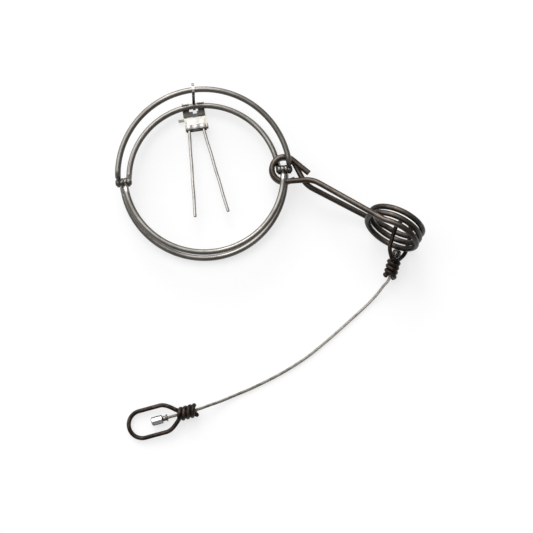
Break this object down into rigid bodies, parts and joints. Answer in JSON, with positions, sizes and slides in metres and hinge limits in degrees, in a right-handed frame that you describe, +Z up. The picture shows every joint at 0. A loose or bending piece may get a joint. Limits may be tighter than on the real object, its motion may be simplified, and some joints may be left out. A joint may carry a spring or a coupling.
{
  "type": "body grip trap",
  "caption": "Round body grip trap, set and lying flat: hinged ring jaws, one torsion spring, dog, wire trigger and a swivelled anchor cable.",
  "frame": {"origin": "bottom centre of the box round the trap without its free cable, on the surface it lies on", "axes": "+X along the jaw hinge line towards the spring, +Y towards the dog and trigger, +Z up"},
  "size_m": [0.2189, 0.2441, 0.0457],
  "materials": {
    "jaw_steel": "satin",
    "rivet_steel": "satin",
    "spring_steel": "satin",
    "dog_steel": "satin",
    "zinc_sheet": "satin",
    "trigger_wire": "satin",
    "link_wire": "satin",
    "cable_rope": "satin",
    "ferrule_metal": "gloss"
  },
  "bodies": {
    "spring": {"spring_coil": "spring_steel", "spring_front_arm": "spring_steel", "spring_rear_arm": "spring_steel", "cable": "cable_rope", "near_ferrule": "ferrule_metal", "near_stop_washer": "rivet_steel", "far_ferrule": "ferrule_metal", "far_collar": "rivet_steel", "far_stop_washer": "rivet_steel"},
    "pivot": {"hinge_rivet_right": "rivet_steel"},
    "outer_jaw": {"outer_upper_hoop": "jaw_steel", "outer_lower_hoop": "jaw_steel", "hinge_rivet_left": "rivet_steel"},
    "inner_jaw": {"inner_upper_hoop": "jaw_steel", "inner_lower_hoop": "jaw_steel"},
    "dog": {"dog": "dog_steel"},
    "trigger": {"trigger_clip": "zinc_sheet", "trigger_clamp": "zinc_sheet"},
    "trigger_left": {"trigger_wire_left": "trigger_wire"},
    "trigger_right": {"trigger_wire_right": "trigger_wire"},
    "near_link": {"near_swivel_link": "link_wire"},
    "far_link": {"far_swivel_link": "link_wire"}
  },
  "joints": [
    {"name": "spring_swing", "type": "hinge", "parent": "spring", "child": "pivot", "pos_m": [0.01287, 0.01017, 0.01402], "axis": [0, 0, 1], "range_deg": [-40, 12]},
    {"name": "outer_jaw_fold", "type": "hinge", "parent": "pivot", "child": "outer_jaw", "pos_m": [-0.04383, 0.01017, 0.01402], "axis": [1, 0, 0], "range_deg": [0, 76]},
    {"name": "inner_jaw_fold", "type": "hinge", "parent": "pivot", "child": "inner_jaw", "pos_m": [-0.04383, 0.01017, 0.01402], "axis": [1, 0, 0], "range_deg": [-76, 0]},
    {"name": "dog_flip", "type": "hinge", "parent": "outer_jaw", "child": "dog", "pos_m": [-0.04663, 0.06945, 0.02628], "axis": [1, 0, 0], "range_deg": [0, 97.5]},
    {"name": "trigger_swing", "type": "hinge", "parent": "inner_jaw", "child": "trigger", "pos_m": [-0.04733, 0.06229, 0.00445], "axis": [0.9978, 0.0661, -0.0045], "range_deg": [-30, 30]},
    {"name": "left_wire_spread", "type": "hinge", "parent": "trigger", "child": "trigger_left", "pos_m": [-0.05152, 0.0469, 0.00535], "axis": [0, 0.068, 0.9977], "range_deg": [-12, 8]},
    {"name": "right_wire_spread", "type": "hinge", "parent": "trigger", "child": "trigger_right", "pos_m": [-0.04164, 0.04756, 0.00531], "axis": [0, 0.068, 0.9977], "range_deg": [-8, 12]},
    {"name": "near_swivel_turn", "type": "hinge", "parent": "spring", "child": "near_link", "pos_m": [0.08585, -0.05934, 0.008], "axis": [0.3739, 0.9256, 0.0593], "range_deg": [-10, 0]},
    {"name": "far_swivel_turn", "type": "hinge", "parent": "spring", "child": "far_link", "pos_m": [-0.07665, -0.15494, 0.0051], "axis": [-0.9808, -0.1729, -0.0906], "continuous": true}
  ],
  "couplings": [
    {"joint": "inner_jaw_fold", "follows": "outer_jaw_fold", "ratio": -1},
    {"joint": "dog_flip", "follows": "outer_jaw_fold", "ratio": 1.28}
  ]
}
